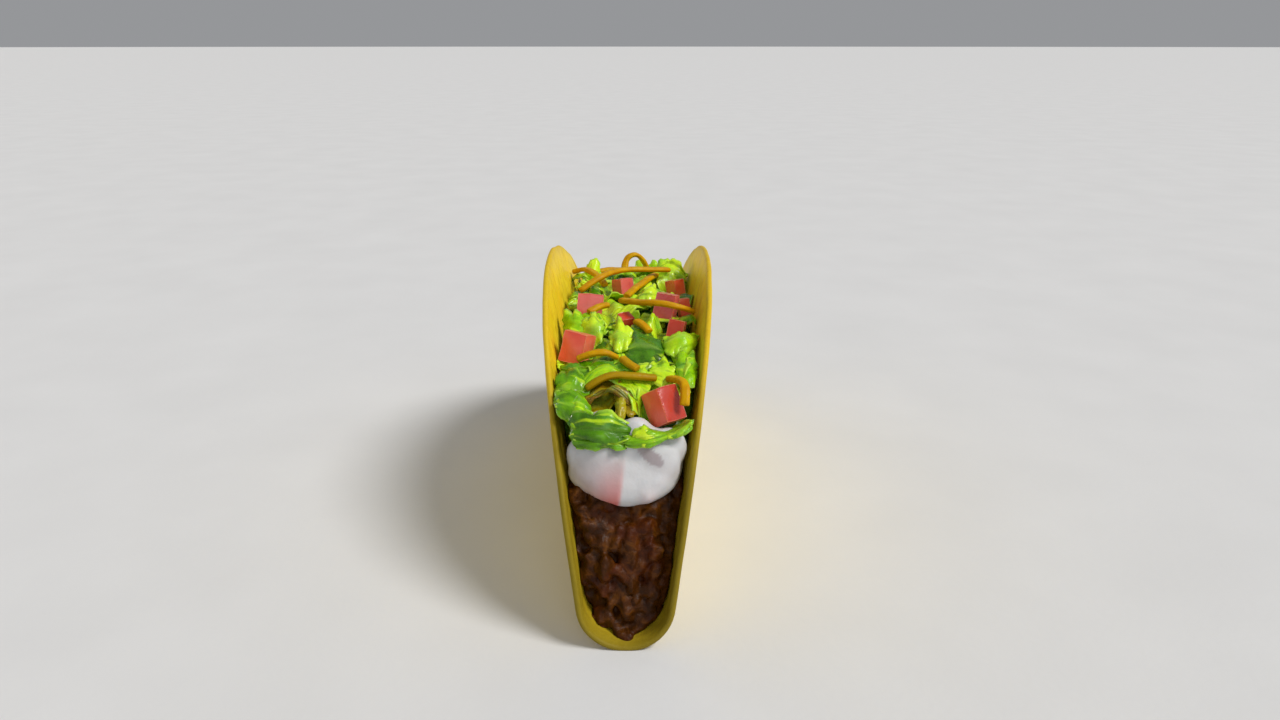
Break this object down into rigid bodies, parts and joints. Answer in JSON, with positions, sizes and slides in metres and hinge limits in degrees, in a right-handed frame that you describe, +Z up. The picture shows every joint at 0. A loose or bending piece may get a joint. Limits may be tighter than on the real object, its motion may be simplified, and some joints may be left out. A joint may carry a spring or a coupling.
{
  "type": "filled taco",
  "caption": "Crunchy folded corn shell, open at the top and both ends, filled with ground beef, sour cream, shredded lettuce, diced tomato and shredded cheese.",
  "frame": {"origin": "on the surface that the taco stands on, under the middle of the fold", "axes": "+Z up, +Y along the fold, from the end shown in the picture to the far end, +X across the taco from one wall to the other"},
  "size_m": [0.0426, 0.15, 0.0678],
  "materials": {
    "tortilla": "fried corn tortilla, dry and slightly blistered, golden yellow",
    "beef": "browned ground beef, crumbly, glossy with juices",
    "sour_cream": "thick white cream, smooth and slightly glossy",
    "lettuce": "fresh green leaf, veined, with a wet sheen",
    "tomato": "ripe tomato flesh, wet",
    "cheese": "grated yellow-orange cheese, satin"
  },
  "bodies": {
    "root": {"shell": "tortilla", "beef": "beef", "sour_cream": "sour_cream", "lettuce": "lettuce", "tomato_1": "tomato", "tomato_2": "tomato", "tomato_3": "tomato", "tomato_4": "tomato", "tomato_5": "tomato", "tomato_6": "tomato", "tomato_7": "tomato", "tomato_8": "tomato", "tomato_9": "tomato", "tomato_10": "tomato", "tomato_11": "tomato", "cheese_1": "cheese", "cheese_2": "cheese", "cheese_3": "cheese", "cheese_4": "cheese", "cheese_5": "cheese", "cheese_6": "cheese", "cheese_7": "cheese", "cheese_8": "cheese", "cheese_9": "cheese", "cheese_10": "cheese", "cheese_11": "cheese", "cheese_12": "cheese", "cheese_13": "cheese"}
  },
  "joints": []
}
